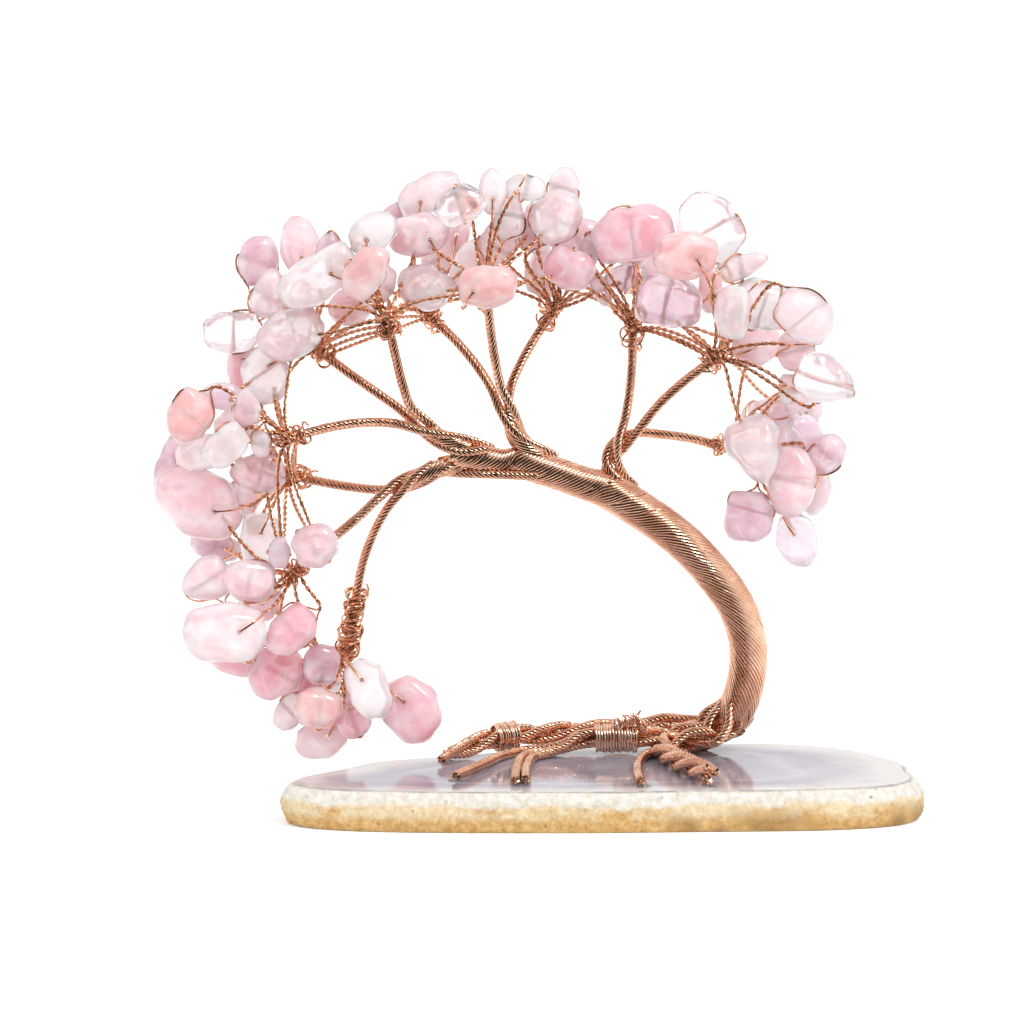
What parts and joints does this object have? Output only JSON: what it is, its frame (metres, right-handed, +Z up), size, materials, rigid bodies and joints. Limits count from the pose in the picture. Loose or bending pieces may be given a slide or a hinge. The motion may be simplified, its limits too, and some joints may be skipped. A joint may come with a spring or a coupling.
{
  "type": "gemstone tree ornament",
  "caption": "Free-standing ornament: drilled quartz chips on loops of thin wire, a tree of twisted copper wire with spreading roots, glued to a slice of agate.",
  "frame": {"origin": "middle of the slab's width and depth, on its underside", "axes": "+Z up, -Y towards the front, +X to the right as seen from the front"},
  "size_m": [0.1398, 0.0593, 0.1162],
  "materials": {
    "copper_strand": "twisted bright copper wire",
    "copper_wire": "thin bright copper wire",
    "rose_quartz": "tumbled and polished, clear to milky pink",
    "agate": "polished face, rough rind",
    "glue": "clear set glue"
  },
  "bodies": {
    "tree": {"agate_slab": "agate", "chips_lower_mid": "rose_quartz", "chips_lower_right": "rose_quartz", "chips_lower_top": "rose_quartz", "chips_middle_left": "rose_quartz", "chips_middle_right": "rose_quartz", "chips_middle_top": "rose_quartz", "chips_right_low": "rose_quartz", "chips_right_mid": "rose_quartz", "chips_right_top": "rose_quartz", "chips_upper_left": "rose_quartz", "chips_upper_right": "rose_quartz", "chips_upper_top": "rose_quartz", "glue_dabs": "glue", "high_root_binding": "copper_wire", "root_binding": "copper_wire", "strand_lower_mid": "copper_strand", "strand_lower_right": "copper_strand", "strand_lower_top": "copper_strand", "strand_middle_left": "copper_strand", "strand_middle_right": "copper_strand", "strand_middle_top": "copper_strand", "strand_right_low": "copper_strand", "strand_right_mid": "copper_strand", "strand_right_top": "copper_strand", "strand_upper_left": "copper_strand", "strand_upper_right": "copper_strand", "strand_upper_top": "copper_strand", "twigs_lower_mid": "copper_wire", "twigs_lower_right": "copper_wire", "twigs_lower_top": "copper_wire", "twigs_middle_left": "copper_wire", "twigs_middle_right": "copper_wire", "twigs_middle_top": "copper_wire", "twigs_right_low": "copper_wire", "twigs_right_mid": "copper_wire", "twigs_right_top": "copper_wire", "twigs_upper_left": "copper_wire", "twigs_upper_right": "copper_wire", "twigs_upper_top": "copper_wire"},
    "pendant_triangle": {"pendant_triangle": "rose_quartz"},
    "pendant_clear": {"pendant_clear": "rose_quartz"},
    "pendant_rose": {"pendant_rose": "rose_quartz"}
  },
  "joints": [
    {"name": "pendant_triangle_swing", "type": "hinge", "parent": "tree", "child": "pendant_triangle", "pos_m": [0.02646, 0.01324, 0.05253], "axis": [0.099, 0.9873, -0.1245], "range_deg": [-10, 10]},
    {"name": "pendant_clear_swing", "type": "hinge", "parent": "tree", "child": "pendant_clear", "pos_m": [0.03496, 0.0166, 0.04774], "axis": [0.1102, 0.9935, 0.0295], "range_deg": [-10, 10]},
    {"name": "pendant_rose_swing", "type": "hinge", "parent": "tree", "child": "pendant_rose", "pos_m": [-0.03546, 0.00924, 0.01819], "axis": [0.1534, 0.9871, -0.0466], "range_deg": [-10, 10]}
  ]
}
